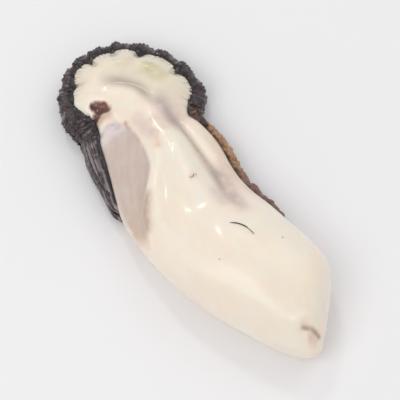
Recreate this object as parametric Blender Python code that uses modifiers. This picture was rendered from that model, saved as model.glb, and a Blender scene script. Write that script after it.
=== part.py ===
"""A raw shucked oyster: the soft body out of its shell, lying on its flatter side.

The plump cream body lies towards -Y and narrows to a neck. The adductor muscle is the smooth oval left of
the neck. The mantle runs from the right flank, round the scalloped fan at the +Y end and down the left side,
and ends in a ruffled frill: two thin folds above, the gills under them, and the lower lobe's frill below.

Sizes are in millimetres until place_in_metres. +Z is up, the oyster rests on z = 0, and the origin is under
the middle of its bounding box.
"""

import math

import bmesh
import bpy
import numpy as np

# ---------------------------------------------------------------- driving dimensions, in millimetres
MILLIMETRE = 0.001
BODY_TOP = 17.5            # crown of the plump body
NECK_TOP = 12.0            # crown of the neck, beside the muscle
FAN_TOP = 10.8             # crown of the mantle fan
GIRTH_HEIGHT = 6.2         # height at which the flesh is widest
ROUNDNESS = 0.86           # of its cross-sections: 1 is elliptical, less is boxier
END_BLUNTNESS = 7          # how late the crown falls off towards either end
SUNK = 1.1                 # how far the underside sags below the table before it is cut flat
FAN_LIFT = 2.6             # how much less the underside sags under the fan
FRILL_WIDTH = 3.3          # widest reach of the black frill beyond the flesh
FOLD_THICKNESS = 1.15      # each thin fold of the frill
LOBE_THICKNESS = 1.3       # the lower lobe
GILL_THICKNESS = 2.2       # the stack of gills, from its grooved face back into the flesh
FRILL_WAVE = 4.4           # spacing of the frill's ruffles
WAVE_OUT = 0.30            # how far a ruffle moves a lip in and out
WAVE_UP = 0.62             # how far it moves it up and down
SCALLOP_PUFF = 0.7         # how far the fan's scallops bulge out past the margin
SCALLOP_REACH = 2.4        # how far in from the margin they are felt
SCALLOP_RISE = 0.6         # how much of the bulge also lifts the rim
RIM_THINNING = 0.55        # share of its height above the frill that the fan loses at its rim
RIM_REACH = 2.3            # how far in from the margin it is thinned
RIM_BASE = 0.85            # height of the frill's top above the level at which it grows
FAN_STARTS = (0.30, 0.37)   # stretch of the margin over which the fan begins
FAN_ENDS = (0.72, 0.78)     # and over which it ends
PLAN_CENTRE = (0.22, 1.09)  # middle of the bounding box in the outlines' own coordinates

FLESH_VOXEL = 0.55
SOLID_VOXEL = 0.42
TRIANGLES = 10400
TABLE_SNAP = 0.06          # points this near the table are put on it, so that the cut leaves no slivers

# ---------------------------------------------------------------- outlines, seen from above
# The frill grows on this stretch of the outline, from the right flank round the fan to the left side.
MARGIN = [
    (13.4, -17.5), (12.0, -11.0), (10.7, -6.0), (9.9, -1.5), (10.1, 2.5), (10.8, 6.5), (11.0, 10.5),
    (10.4, 14.8), (9.3, 18.2),
    (10.3, 20.8), (12.8, 23.4), (13.2, 27.5), (12.0, 32.0), (9.3, 36.2), (5.5, 39.6), (0.8, 41.1),
    (-3.8, 41.0), (-7.4, 38.8), (-9.9, 34.6), (-9.9, 31.0), (-9.0, 28.0), (-9.6, 24.8), (-11.3, 20.0),
    (-13.0, 14.0), (-14.8, 9.0), (-16.0, 4.0),
]
# The plump end has no frill.
BODY_END = [
    (-16.4, -2.0), (-15.9, -8.5), (-14.4, -15.5), (-12.0, -22.5), (-9.0, -29.0), (-5.6, -35.4),
    (-2.0, -40.6), (1.5, -42.9), (4.4, -40.9), (8.3, -36.8), (12.3, -32.2), (14.5, -27.6), (14.3, -22.5),
]
# Crown height of the flesh at each distance along Y.
CROWN = [
    (-43.0, 14.8), (-36.0, 16.2), (-29.0, BODY_TOP - 0.4), (-21.0, BODY_TOP), (-12.0, BODY_TOP - 1.0),
    (-3.0, 14.2), (6.0, NECK_TOP + 0.6), (15.0, NECK_TOP - 0.6), (24.0, FAN_TOP), (33.0, FAN_TOP),
    (41.0, FAN_TOP - 0.6),
]

# Notches between the fan's scallops: (x, y, depth).
NOTCHES = [
    (9.3, 18.2, 0.3), (11.9, 28.3, 0.9), (8.3, 36.9, 1.2), (3.4, 40.7, 0.4), (-1.9, 41.1, 1.0),
    (-8.2, 37.8, 0.6), (-9.4, 29.4, 0.5),
]

# ---------------------------------------------------------------- folds pressed into the upper surface
# name: (points seen from above, half width, height, share of the length each end fades over, sharpness)
# Sharpness 2 is round, nearer 1 is a crease.
FOLDS = {
    "neck ridge": (
        [(-1.2, 30.0), (0.6, 25.0), (1.2, 19.0), (1.1, 12.0), (-0.6, 4.0), (-2.8, -6.0)], 3.0, 2.0, 0.28, 2.0,
    ),
    "side ridge": (
        [(-1.0, 21.0), (-1.7, 15.0), (-3.4, 11.0), (-5.9, 7.6), (-8.4, 4.3), (-9.9, 0.7), (-11.0, -3.8)],
        1.3, 1.1, 0.25, 2.0,
    ),
    "fan crease": (
        [(-4.9, 34.9), (-3.0, 34.0), (-0.4, 32.6), (1.5, 30.7), (2.7, 28.8), (3.1, 26.4), (3.0, 23.6),
         (2.8, 21.5)], 1.7, -0.65, 0.3, 2.0,
    ),
    "neck crease": (
        [(3.9, 23.5), (4.7, 18.8), (5.1, 14.5), (5.2, 10.5), (5.1, 6.0), (5.0, 2.0), (4.2, -2.0), (3.4, -5.5),
         (3.6, -9.5)], 1.2, -1.9, 0.3, 1.3,
    ),
    "mantle roll": (
        [(9.2, 22.0), (9.6, 26.0), (8.4, 31.0), (5.4, 35.4), (1.0, 37.4), (-3.4, 37.2), (-6.8, 35.0)],
        3.1, 1.6, 0.16, 2.0,
    ),
    "muscle lip": (
        [(-11.0, 24.2), (-10.2, 25.6), (-8.4, 26.5), (-6.4, 26.3), (-5.0, 25.2), (-4.3, 23.4)],
        0.8, 0.9, 0.2, 2.0,
    ),
    "muscle notch": ([(-4.0, 23.2), (-4.5, 21.6), (-4.2, 19.9)], 0.5, -0.8, 0.3, 1.6),
    "flank fold": (
        [(-8.8, 6.4), (-10.8, 4.1), (-12.4, 1.7), (-13.8, -0.8), (-14.9, -3.4)], 1.1, -1.1, 0.3, 1.6,
    ),
    "body fold": ([(-9.6, 1.0), (-10.0, -4.1), (-9.8, -7.1), (-9.0, -10.5)], 1.3, -0.5, 0.35, 2.0),
    "vent": ([(-7.2, 30.5), (-6.5, 29.5), (-5.8, 28.4)], 1.2, -1.1, 0.0, 2.0),
    "vent tail": ([(-6.4, 28.3), (-8.2, 27.9), (-9.8, 27.6)], 0.7, -0.6, 0.1, 2.0),
    "mouth": ([(-0.1, -37.5), (0.9, -38.2), (2.0, -39.1)], 0.8, -1.2, 0.3, 1.4),
    "tip fold": ([(1.7, -39.0), (2.7, -40.1), (3.2, -41.6)], 0.9, -1.0, 0.3, 1.4),
    "tip lip": ([(-1.5, -36.9), (0.7, -36.5), (2.9, -37.3), (4.3, -39.0)], 1.0, 0.55, 0.3, 2.0),
    "neck line": ([(1.9, 15.5), (1.2, 12.5), (0.4, 9.9), (-0.8, 7.2)], 0.5, -0.35, 0.3, 1.4),
}

# ---------------------------------------------------------------- adductor muscle, a disc let into the flesh
MUSCLE = [
    (-5.6, 24.0), (-8.2, 24.9), (-10.4, 23.4), (-11.7, 19.4), (-13.0, 15.2), (-14.5, 10.6), (-15.9, 6.0),
    (-16.4, 1.5), (-16.5, -2.5), (-16.0, -5.4), (-15.0, -4.8), (-14.1, -1.6), (-12.4, 2.4), (-9.2, 6.0),
    (-6.2, 9.4), (-4.5, 13.2), (-3.9, 17.2), (-4.2, 21.2),
]
MUSCLE_CENTRE = (-9.0, 14.0)
MUSCLE_TOP = 10.0          # of the disc's middle
MUSCLE_LEAN = math.radians(-20)    # its left side is lower
MUSCLE_PITCH = math.radians(-6.5)  # and its end towards the fan is lower
MUSCLE_DEPTH = 3.0         # from the disc's top to its middle
MUSCLE_SPREAD = 0.8        # less than 1 crowds the sphere it is made from towards the rim
MUSCLE_FLATNESS = 0.45     # less is a flatter top with a tighter rim
MUSCLE_BED = 1.8           # how deep its bed is pressed into the flesh

# The knot of mantle at the notch between the fan and the right flank: lumps as (x, y, z, radius).
KNOT = [
    (8.3, 15.6, 7.4, 0.9), (9.5, 15.8, 7.2, 1.2), (10.8, 15.9, 6.6, 1.2), (9.6, 16.9, 6.9, 1.0),
    (11.2, 14.6, 6.1, 0.9),
]

# ---------------------------------------------------------------- frills, gills: (outward reach, height)
# Reach is a share of the frill's local width, and height is added to the local height of the margin.
INNER_FOLD = [(-0.9, -0.1), (-0.1, 0.5), (0.30, 0.8), (0.64, 0.4)]
OUTER_FOLD = [(-0.9, -0.6), (-0.1, -0.2), (0.45, -0.6), (0.82, -1.5), (1.0, -2.4)]
LOWER_LOBE = [(-2.0, 1.3), (-1.0, 1.2), (0.0, 1.0), (0.6, 0.9), (1.05, 1.3)]
# Where along the margin (0 to 1) the frill is how wide (a share of FRILL_WIDTH), and how high it grows.
FRILL_AT = [
    (0.00, 0.15, 6.4), (0.07, 0.52, 6.0), (0.13, 0.66, 5.8), (0.20, 0.70, 5.4), (0.27, 0.66, 5.2),
    (0.31, 0.74, 5.2), (0.345, 0.98, 5.6), (0.40, 1.00, 6.0), (0.50, 0.95, 6.2), (0.60, 0.92, 6.2),
    (0.70, 1.00, 6.2), (0.77, 1.22, 6.0), (0.84, 1.16, 5.8), (0.89, 0.92, 5.6), (0.93, 0.62, 5.2),
    (0.965, 0.32, 4.9), (1.00, 0.10, 4.6),
]
TUCK = 2.6                 # how far the folds' ends are drawn back into the flesh
GILL_LEAVES = 4
GILL_BOTTOM = 1.3
GILL_GAP = 0.4             # between the gills and the fold above them
GILL_INSET = 1.6           # how far behind the margin they stand where the frill has no width
GILL_FOLLOW = 0.45         # share of the frill's width by which they stand further out
GILL_DEPTH = 0.75          # how deep the grooves between the leaves are
GILL_SPAN = (0.05, 0.95)   # stretch of the margin they follow
LOWER_LOBE_START = 0.06


# ---------------------------------------------------------------- curves and tables
def smooth_through(points, per_span=12, closed=False):
    """Points on the Catmull-Rom curve through the given ones."""
    knots = np.array(points, float)
    if closed:
        knots = np.vstack([knots[-1], knots, knots[0], knots[1]])
    else:
        knots = np.vstack([2 * knots[0] - knots[1], knots, 2 * knots[-1] - knots[-2]])
    t = np.linspace(0, 1, per_span, endpoint=False)[:, None]
    made = []
    for a, b, c, d in zip(knots, knots[1:], knots[2:], knots[3:]):
        made.append(0.5 * (2 * b + (c - a) * t + (2 * a - 5 * b + 4 * c - d) * t**2
                           + (3 * b - a - 3 * c + d) * t**3))
    if not closed:
        made.append(knots[-2][None])
    return np.vstack(made)


def along(curve):
    """Distance from the curve's start to each of its points."""
    return np.concatenate([[0], np.cumsum(np.linalg.norm(np.diff(curve, axis=0), axis=1))])


def resample(curve, count):
    """The same curve with count evenly spaced points."""
    distance = along(curve)
    even = np.linspace(0, distance[-1], count)
    return np.stack([np.interp(even, distance, curve[:, k]) for k in range(curve.shape[1])], axis=1)


def table_at(table, where, column=1):
    """A column of a table, read smoothly at each place of its first column."""
    curve = smooth_through(table, per_span=16)
    return np.interp(where, curve[:, 0], curve[:, column])


def smooth_step(low, high, value):
    t = np.clip((value - low) / (high - low), 0, 1)
    return t * t * (3 - 2 * t)


def nearest(curve, places):
    """Index of the curve's nearest point to each place, and the distance to it."""
    index = np.empty(len(places), int)
    for start in range(0, len(places), 4000):
        part = slice(start, start + 4000)
        index[part] = ((places[part, None, :] - curve[None]) ** 2).sum(axis=2).argmin(axis=1)
    return index, np.linalg.norm(places - curve[index], axis=1)


def margin_frame(count=600):
    """The margin's points, their outward directions, and each point's distance from the start."""
    curve = resample(smooth_through(MARGIN), count)
    ahead = np.gradient(curve, axis=0)
    ahead /= np.linalg.norm(ahead, axis=1, keepdims=True)
    return curve, np.stack([ahead[:, 1], -ahead[:, 0]], axis=1), along(curve)


def closed_outline(points):
    """The smooth closed curve through the points, its outward directions alongside."""
    curve = resample(smooth_through(points, closed=True), 1200)
    ahead = np.roll(curve, -1, axis=0) - np.roll(curve, 1, axis=0)
    ahead /= np.linalg.norm(ahead, axis=1, keepdims=True)
    return curve, np.stack([ahead[:, 1], -ahead[:, 0]], axis=1)


# ---------------------------------------------------------------- flesh
def flesh_points(ball):
    """Maps a unit sphere, its poles at either end of Y, to the outline, crown and sagging underside."""
    outline, _ = closed_outline(MARGIN + BODY_END)
    tail, head = outline[:, 1].argmin(), outline[:, 1].argmax()
    right = np.roll(outline, -tail, axis=0)[: (head - tail) % len(outline) + 1]
    left = np.roll(outline, -head, axis=0)[: (tail - head) % len(outline) + 1][::-1]
    place = np.interp(ball[:, 1], (-1, 1), (outline[tail, 1], outline[head, 1]))
    x_left = np.interp(place, left[:, 1], left[:, 0])
    x_right = np.interp(place, right[:, 1], right[:, 0])
    section = ball[:, [0, 2]] / np.maximum(np.hypot(ball[:, 0], ball[:, 2]), 1e-9)[:, None]
    section = np.sign(section) * np.abs(section) ** ROUNDNESS
    crown = table_at(CROWN, place) - GIRTH_HEIGHT
    keel = GIRTH_HEIGHT + SUNK - FAN_LIFT * smooth_step(18, 38, place)
    blunt = np.sqrt(1 - np.clip(np.abs(ball[:, 1]), 0, 1) ** END_BLUNTNESS)
    height = np.where(section[:, 1] > 0, crown, keel) * section[:, 1] * blunt
    across = (x_left + x_right) / 2 + section[:, 0] * (x_right - x_left) / 2
    return np.column_stack([across, place, GIRTH_HEIGHT + height])


def fold_heights(plan):
    """How far the folds raise or lower the upper surface at each place."""
    height = np.zeros(len(plan))
    for points, half_width, depth, fade, sharpness in FOLDS.values():
        curve = resample(smooth_through(points), 60)
        index, distance = nearest(curve, plan)
        share = index / (len(curve) - 1)
        ends = 1.0 if fade == 0 else smooth_step(0, fade, share) * smooth_step(0, fade, 1 - share)
        height += depth * ends * np.exp(-((distance / half_width) ** sharpness))
    return height


def inside_muscle(plan):
    """Distance to each place, seen from above, from the muscle's edge: more than 0 inside, less outside."""
    edge, outward = closed_outline(MUSCLE)
    index, _ = nearest(edge, plan)
    return -((plan - edge[index]) * outward[index]).sum(axis=1)


def scallops(curve, distance, index):
    """How far the fan's edge is pushed out at the given points of the margin, as rounded scallops."""
    notches = np.array(NOTCHES)
    places = distance[nearest(curve, notches[:, :2])[0]]
    turn = math.pi * np.interp(distance[index], places, np.arange(len(places)))
    depth = np.interp(distance[index], places, notches[:, 2])
    crest = np.abs(np.sin(turn))
    small = np.abs(np.sin(3 * turn))
    return SCALLOP_PUFF * crest**0.4 - depth * (1 - crest) ** 2.6 - 0.2 * (1 - small) ** 2


def sculpt(points, normals):
    """Presses the folds, the muscle's bed and the fan's scallops into the flesh."""
    plan = points[:, :2]
    upper = smooth_step(-0.1, 0.45, normals[:, 2])
    bed = smooth_step(-0.2, 1.0, inside_muscle(plan))
    made = points.copy()
    made[:, 2] += upper * (fold_heights(plan) - MUSCLE_BED * bed)
    curve, outward, distance = margin_frame()
    index, gap = nearest(curve, plan)
    share = index / (len(curve) - 1)
    on_fan = smooth_step(*FAN_STARTS, share) * (1 - smooth_step(*FAN_ENDS, share))
    push = scallops(curve, distance, index) * on_fan
    near = np.exp(-((gap / SCALLOP_REACH) ** 2))
    made[:, :2] += outward[index] * (push * near)[:, None]
    made[:, 2] += upper * SCALLOP_RISE * np.minimum(push, 0.3) * near
    above = np.maximum(made[:, 2] - frill_at(share)[1] - RIM_BASE, 0)
    made[:, 2] -= above * on_fan * RIM_THINNING * np.exp(-((gap / RIM_REACH) ** 2))
    return made


# ---------------------------------------------------------------- frills and gills
def frill_at(share):
    """The frill's width and the height at which it grows, along the margin."""
    return FRILL_WIDTH * table_at(FRILL_AT, share), table_at(FRILL_AT, share, column=2)


def tucked_in(share):
    """How far a fold's two ends are drawn back into the flesh."""
    return TUCK * (2 - smooth_step(0, 0.05, share) - smooth_step(0, 0.05, 1 - share))


def ruffle(distance, wave, shift):
    """An uneven wave along the margin, from -1 to 1."""
    phase = 2 * math.pi * distance / wave + 1.3 * np.sin(distance / 6.1 + shift) + shift
    return np.sin(phase) * (0.75 + 0.25 * np.sin(distance / 3.7 + 2 * shift))


def fold_point(profile, grid, shift, from_table=False, first=0.0, last=1.0):
    """Maps a flat grid, 0 to 1 each way, to a thin fold that follows the margin and ruffles at its lip."""
    curve, outward, distance = margin_frame()
    share = first + (last - first) * grid[:, 0]
    index = np.rint(share * (len(curve) - 1)).astype(int)
    width, rise = frill_at(share)
    shape = smooth_through(profile)
    step = np.linspace(0, 1, len(shape))
    reach = np.interp(grid[:, 1], step, shape[:, 0]) * width
    height = np.interp(grid[:, 1], step, shape[:, 1]) * (1.0 if from_table else width / FRILL_WIDTH)
    calm = 1 - 0.8 * smooth_step(0.76, 0.83, share)
    wave = ruffle(distance[index], FRILL_WAVE, shift) * grid[:, 1] ** 1.4 * calm * width / FRILL_WIDTH
    plan = curve[index] + outward[index] * (reach + WAVE_OUT * wave - tucked_in(grid[:, 0]))[:, None]
    return np.column_stack([plan, height + WAVE_UP * wave + (0 if from_table else rise)])


def gill_point(grid):
    """Maps the grid to the stack of gill leaves: an upright wall, grooved along its length."""
    curve, outward, _ = margin_frame()
    share = GILL_SPAN[0] + (GILL_SPAN[1] - GILL_SPAN[0]) * grid[:, 0]
    index = np.rint(share * (len(curve) - 1)).astype(int)
    width, rise = frill_at(share)
    leaf = np.abs(np.sin(math.pi * GILL_LEAVES * grid[:, 1]))
    reach = GILL_FOLLOW * width - GILL_INSET + GILL_DEPTH * leaf - tucked_in(grid[:, 0])
    height = GILL_BOTTOM + (rise - GILL_GAP - GILL_BOTTOM) * grid[:, 1]
    return np.column_stack([curve[index] + outward[index] * reach[:, None], height])


# ---------------------------------------------------------------- Blender objects
def clear_scene():
    for obj in list(bpy.data.objects):
        bpy.data.objects.remove(obj)


def points_of(mesh):
    points = np.empty(len(mesh.vertices) * 3)
    mesh.vertices.foreach_get("co", points)
    return points.reshape(-1, 3)


def new_object(name, mesh, points=None):
    if points is not None:
        mesh.vertices.foreach_set("co", points.astype(np.float32).ravel())
        mesh.update()
    obj = bpy.data.objects.new(name, mesh)
    bpy.context.scene.collection.objects.link(obj)
    return obj


def evaluated_mesh(obj):
    """The object's mesh with its modifiers applied. The object is removed."""
    graph = bpy.context.evaluated_depsgraph_get()
    made = bpy.data.meshes.new_from_object(obj.evaluated_get(graph))
    bpy.data.objects.remove(obj)
    return made


def sphere_mesh(segments, rings):
    shape = bmesh.new()
    bmesh.ops.create_uvsphere(shape, u_segments=segments, v_segments=rings, radius=1)
    mesh = bpy.data.meshes.new("sphere")
    shape.to_mesh(mesh)
    shape.free()
    return mesh


def voxel_remesh(obj, size):
    modifier = obj.modifiers.new("even mesh", "REMESH")
    modifier.mode = "VOXEL"
    modifier.voxel_size = size


def relax(obj, factor, repeats):
    modifier = obj.modifiers.new("relax", "SMOOTH")
    modifier.factor = factor
    modifier.iterations = repeats


def make_flesh():
    mesh = sphere_mesh(120, 200)
    obj = new_object("flesh", mesh, flesh_points(points_of(mesh)[:, [1, 2, 0]]))
    voxel_remesh(obj, FLESH_VOXEL)
    relax(obj, 0.5, 6)
    mesh = evaluated_mesh(obj)
    normals = np.empty(len(mesh.vertices) * 3)
    mesh.vertices.foreach_get("normal", normals)
    return new_object("flesh", mesh, sculpt(points_of(mesh), normals.reshape(-1, 3)))


def make_muscle():
    mesh = sphere_mesh(120, 24)
    ball = points_of(mesh)
    edge, _ = closed_outline(MUSCLE)
    bearing = np.arctan2(*(edge - MUSCLE_CENTRE).T[::-1])
    order = bearing.argsort()
    turn = np.arctan2(ball[:, 1], ball[:, 0])
    rim = np.column_stack([
        np.interp(turn, bearing[order], edge[order, 0], period=math.tau),
        np.interp(turn, bearing[order], edge[order, 1], period=math.tau),
    ])
    reach = np.hypot(ball[:, 0], ball[:, 1])[:, None] ** MUSCLE_SPREAD
    plan = MUSCLE_CENTRE + (rim - MUSCLE_CENTRE) * reach
    rise = MUSCLE_DEPTH * (np.sign(ball[:, 2]) * np.abs(ball[:, 2]) ** MUSCLE_FLATNESS - 1)
    lean, pitch = ((plan - MUSCLE_CENTRE) * (math.tan(-MUSCLE_LEAN), math.tan(MUSCLE_PITCH))).T
    return new_object("muscle", mesh, np.column_stack([plan, MUSCLE_TOP + rise + lean + pitch]))


def make_knot():
    shape = bmesh.new()
    for x, y, z, radius in KNOT:
        ball = bmesh.ops.create_icosphere(shape, subdivisions=3, radius=radius)["verts"]
        bmesh.ops.translate(shape, verts=ball, vec=(x, y, z))
    mesh = bpy.data.meshes.new("knot")
    shape.to_mesh(mesh)
    shape.free()
    return new_object("knot", mesh)


def grid_sheet(name, long_steps, cross_steps, mapping, thickness):
    """A thin closed sheet: a flat grid, bent by the mapping and given its thickness."""
    shape = bmesh.new()
    bmesh.ops.create_grid(shape, x_segments=long_steps, y_segments=cross_steps, size=0.5)
    mesh = bpy.data.meshes.new(name)
    shape.to_mesh(mesh)
    shape.free()
    obj = new_object(name, mesh, mapping(points_of(mesh)[:, :2] + 0.5))
    solid = obj.modifiers.new("thickness", "SOLIDIFY")
    solid.thickness = thickness
    solid.offset = 0
    return new_object(name, evaluated_mesh(obj))


def make_frills():
    def lower_lobe(grid):
        return fold_point(LOWER_LOBE, grid, 4.1, from_table=True, first=LOWER_LOBE_START)

    return [
        grid_sheet("inner fold", 240, 7, lambda grid: fold_point(INNER_FOLD, grid, 0.0), FOLD_THICKNESS),
        grid_sheet("outer fold", 240, 9, lambda grid: fold_point(OUTER_FOLD, grid, 2.2), FOLD_THICKNESS),
        grid_sheet("lower lobe", 240, 9, lower_lobe, LOBE_THICKNESS),
        grid_sheet("gills", 240, 26, gill_point, GILL_THICKNESS),
    ]


def join(objects, name):
    """One mesh of all the shapes, still overlapping."""
    shape = bmesh.new()
    for obj in objects:
        shape.from_mesh(obj.data)
        bpy.data.objects.remove(obj)
    mesh = bpy.data.meshes.new(name)
    shape.to_mesh(mesh)
    shape.free()
    return new_object(name, mesh)


def drop_flaps(shape):
    """Removes the pairs of triangles with the same three corners that thinning can leave."""
    same_corners = {}
    for face in shape.faces:
        same_corners.setdefault(frozenset(face.verts), []).append(face)
    flaps = [face for faces in same_corners.values() if len(faces) > 1 for face in faces]
    bmesh.ops.delete(shape, geom=flaps, context="FACES")


def cut_flat(mesh):
    """Cuts away what lies under the table and closes the flat underside."""
    shape = bmesh.new()
    shape.from_mesh(mesh)
    for vert in shape.verts:
        if abs(vert.co.z) < TABLE_SNAP:
            vert.co.z = 0
    parts = shape.verts[:] + shape.edges[:] + shape.faces[:]
    bmesh.ops.bisect_plane(
        shape, geom=parts, dist=1e-5, plane_co=(0, 0, 0), plane_no=(0, 0, 1), clear_inner=True,
    )
    rim = [edge for edge in shape.edges if edge.is_boundary]
    bmesh.ops.holes_fill(shape, edges=rim, sides=0)
    bmesh.ops.triangulate(shape, faces=shape.faces[:])
    drop_flaps(shape)
    shape.to_mesh(mesh)
    shape.free()


def place_in_metres(mesh):
    points = (points_of(mesh) - (*PLAN_CENTRE, 0)) * MILLIMETRE
    mesh.vertices.foreach_set("co", points.astype(np.float32).ravel())
    mesh.update()


def add_material(mesh):
    material = bpy.data.materials.new("oyster flesh")
    material.use_nodes = True
    shader = material.node_tree.nodes["Principled BSDF"]
    shader.inputs["Base Color"].default_value = (0.86, 0.76, 0.62, 1)
    shader.inputs["Roughness"].default_value = 0.28
    mesh.materials.append(material)


# ---------------------------------------------------------------- the oyster
def make_oyster():
    """Fuses the shapes into one closed skin, thins its mesh and rests it on its flat underside."""
    obj = join([make_flesh(), make_muscle(), make_knot(), *make_frills()], "shapes")
    voxel_remesh(obj, SOLID_VOXEL)
    relax(obj, 0.5, 3)
    mesh = evaluated_mesh(obj)
    obj = new_object("oyster", mesh)
    thin = obj.modifiers.new("thin", "DECIMATE")
    thin.ratio = TRIANGLES / sum(len(face.vertices) - 2 for face in mesh.polygons)
    mesh = evaluated_mesh(obj)
    cut_flat(mesh)
    place_in_metres(mesh)
    add_material(mesh)
    mesh.shade_smooth()
    return new_object("oyster", mesh)


def main():
    clear_scene()
    oyster = make_oyster()
    collection = bpy.data.collections.new("shucked_oyster")
    bpy.context.scene.collection.children.link(collection)
    bpy.context.scene.collection.objects.unlink(oyster)
    collection.objects.link(oyster)


main()
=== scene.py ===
"""The looks of a raw shucked oyster: wet cream flesh, a grey muscle, gills and a black ruffled frill.

Shapes are worked out in millimetres, from the same outlines and folds as the solid, and placed in metres.
"""

import math
import bmesh
import bpy
import numpy as np
from mathutils import Matrix, Vector, noise
from mathutils.bvhtree import BVHTree


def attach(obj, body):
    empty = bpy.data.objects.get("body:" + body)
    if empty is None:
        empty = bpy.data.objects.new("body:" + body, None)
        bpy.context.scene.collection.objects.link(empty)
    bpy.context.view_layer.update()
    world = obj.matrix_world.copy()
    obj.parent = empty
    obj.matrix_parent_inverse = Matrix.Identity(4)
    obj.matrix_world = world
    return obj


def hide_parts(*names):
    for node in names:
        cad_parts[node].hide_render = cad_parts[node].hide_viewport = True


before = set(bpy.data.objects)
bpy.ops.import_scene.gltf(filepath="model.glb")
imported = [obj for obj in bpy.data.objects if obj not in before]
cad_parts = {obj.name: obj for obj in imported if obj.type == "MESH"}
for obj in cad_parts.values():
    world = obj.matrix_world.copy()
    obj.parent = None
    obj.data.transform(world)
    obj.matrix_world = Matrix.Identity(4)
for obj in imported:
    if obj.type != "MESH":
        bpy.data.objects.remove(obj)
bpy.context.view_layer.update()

# ================================================================ driving dimensions, in millimetres
MILLIMETRE = 0.001
BODY_TOP = 17.5
NECK_TOP = 12.0
FAN_TOP = 10.8
GIRTH_HEIGHT = 6.2
ROUNDNESS = 0.86           # power of the cross-section: 1 is an ellipse, less is squarer
END_BLUNTNESS = 7          # how late the height falls towards the body's tip and the fan
SUNK = 1.1                 # how far the underside sags below the table before it is set on it
FAN_LIFT = 2.6             # how much less the underside sags under the fan
FRILL_WIDTH = 3.3          # widest reach of the black frill beyond the flesh
FRILL_WAVE = 4.4           # spacing of the frill's ruffles
WAVE_OUT = 0.30            # how far a ruffle moves a lip in and out
WAVE_UP = 0.62             # how far it moves it up and down
CRINKLE_WAVE = 1.75        # spacing of the small crinkles on the ruffles
CRINKLE_OUT = 0.18
CRINKLE_UP = 0.30
TOOTH = 0.34               # how far the fine teeth of the lips reach in and out
FOLD_LUMP = 0.04           # height of the small lumps on the folds
SCALLOP_PUFF = 0.7         # how far the fan's scallops bulge out past the margin
SCALLOP_REACH = 2.4        # how far in from the margin they are felt
SCALLOP_RISE = 0.6         # how much of the bulge also lifts the rim
RIM_THINNING = 0.55        # share of its height above the frill that the fan loses at its rim
RIM_REACH = 2.3            # how far in from the margin it is thinned
RIM_BASE = 0.85            # height of the frill's top above the level at which it grows
RIM_SPAN = 4.0             # the rim mask runs from 0 at the frill to 1 this far up the flesh
FAN_STARTS = (0.30, 0.37)  # stretch of the margin over which the fan begins
FAN_ENDS = (0.72, 0.78)    # and over which it ends
LEFT_STARTS = (0.76, 0.83)  # and over which the calm folds of the left side begin
LUMP = 0.26                # height of the flesh's soft lumps
WRINKLE = 0.07             # of the neck's fine wrinkles
PLEAT = 0.16               # and of the fan's radial pleats
PLEAT_SPACING = 0.62
PLAN_CENTRE = (0.22, 1.09)  # middle of the bounding box in the outlines' own coordinates
FLESH_VOXEL = 0.33
KNOT_VOXEL = 0.12

# ================================================================ outlines, seen from above
MARGIN = [
    (13.4, -17.5), (12.0, -11.0), (10.7, -6.0), (9.9, -1.5), (10.1, 2.5), (10.8, 6.5), (11.0, 10.5),
    (10.4, 14.8), (9.3, 18.2),
    (10.3, 20.8), (12.8, 23.4), (13.2, 27.5), (12.0, 32.0), (9.3, 36.2), (5.5, 39.6), (0.8, 41.1),
    (-3.8, 41.0), (-7.4, 38.8), (-9.9, 34.6), (-9.9, 31.0), (-9.0, 28.0), (-9.6, 24.8), (-11.3, 20.0),
    (-13.0, 14.0), (-14.8, 9.0), (-16.0, 4.0),
]
BODY_END = [
    (-16.4, -2.0), (-15.9, -8.5), (-14.4, -15.5), (-12.0, -22.5), (-9.0, -29.0), (-5.6, -35.4),
    (-2.0, -40.6), (1.5, -42.9), (4.4, -40.9), (8.3, -36.8), (12.3, -32.2), (14.5, -27.6), (14.3, -22.5),
]
CROWN = [
    (-43.0, 14.8), (-36.0, 16.2), (-29.0, BODY_TOP - 0.4), (-21.0, BODY_TOP), (-12.0, BODY_TOP - 1.0),
    (-3.0, 14.2), (6.0, NECK_TOP + 0.6), (15.0, NECK_TOP - 0.6), (24.0, FAN_TOP), (33.0, FAN_TOP),
    (41.0, FAN_TOP - 0.6),
]

# Notches between the fan's scallops: (x, y, depth)
NOTCHES = [
    (9.3, 18.2, 0.3), (11.9, 28.3, 0.9), (8.3, 36.9, 1.2), (3.4, 40.7, 0.4), (-1.9, 41.1, 1.0),
    (-8.2, 37.8, 0.6), (-9.4, 29.4, 0.5),
]

NECK_RIDGE = [(-1.2, 30.0), (0.6, 25.0), (1.2, 19.0), (1.1, 12.0), (-0.6, 4.0), (-2.8, -6.0)]
SIDE_RIDGE = [(-1.0, 21.0), (-1.7, 15.0), (-3.4, 11.0), (-5.9, 7.6), (-8.4, 4.3), (-9.9, 0.7), (-11.0, -3.8)]
FAN_CREASE = [
    (-4.9, 34.9), (-3.0, 34.0), (-0.4, 32.6), (1.5, 30.7), (2.7, 28.8), (3.1, 26.4), (3.0, 23.6), (2.8, 21.5),
]
NECK_CREASE = [
    (3.9, 23.5), (4.7, 18.8), (5.1, 14.5), (5.2, 10.5), (5.1, 6.0), (5.0, 2.0), (4.2, -2.0), (3.4, -5.5),
    (3.6, -9.5),
]
MANTLE_ROLL = [(9.2, 22.0), (9.6, 26.0), (8.4, 31.0), (5.4, 35.4), (1.0, 37.4), (-3.4, 37.2), (-6.8, 35.0)]
MUSCLE_LIP = [(-11.0, 24.2), (-10.2, 25.6), (-8.4, 26.5), (-6.4, 26.3), (-5.0, 25.2), (-4.3, 23.4)]
FLANK_FOLD = [(-8.8, 6.4), (-10.8, 4.1), (-12.4, 1.7), (-13.8, -0.8), (-14.9, -3.4)]
BODY_FOLD = [(-9.6, 1.0), (-10.0, -4.1), (-9.8, -7.1), (-9.0, -10.5)]
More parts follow.
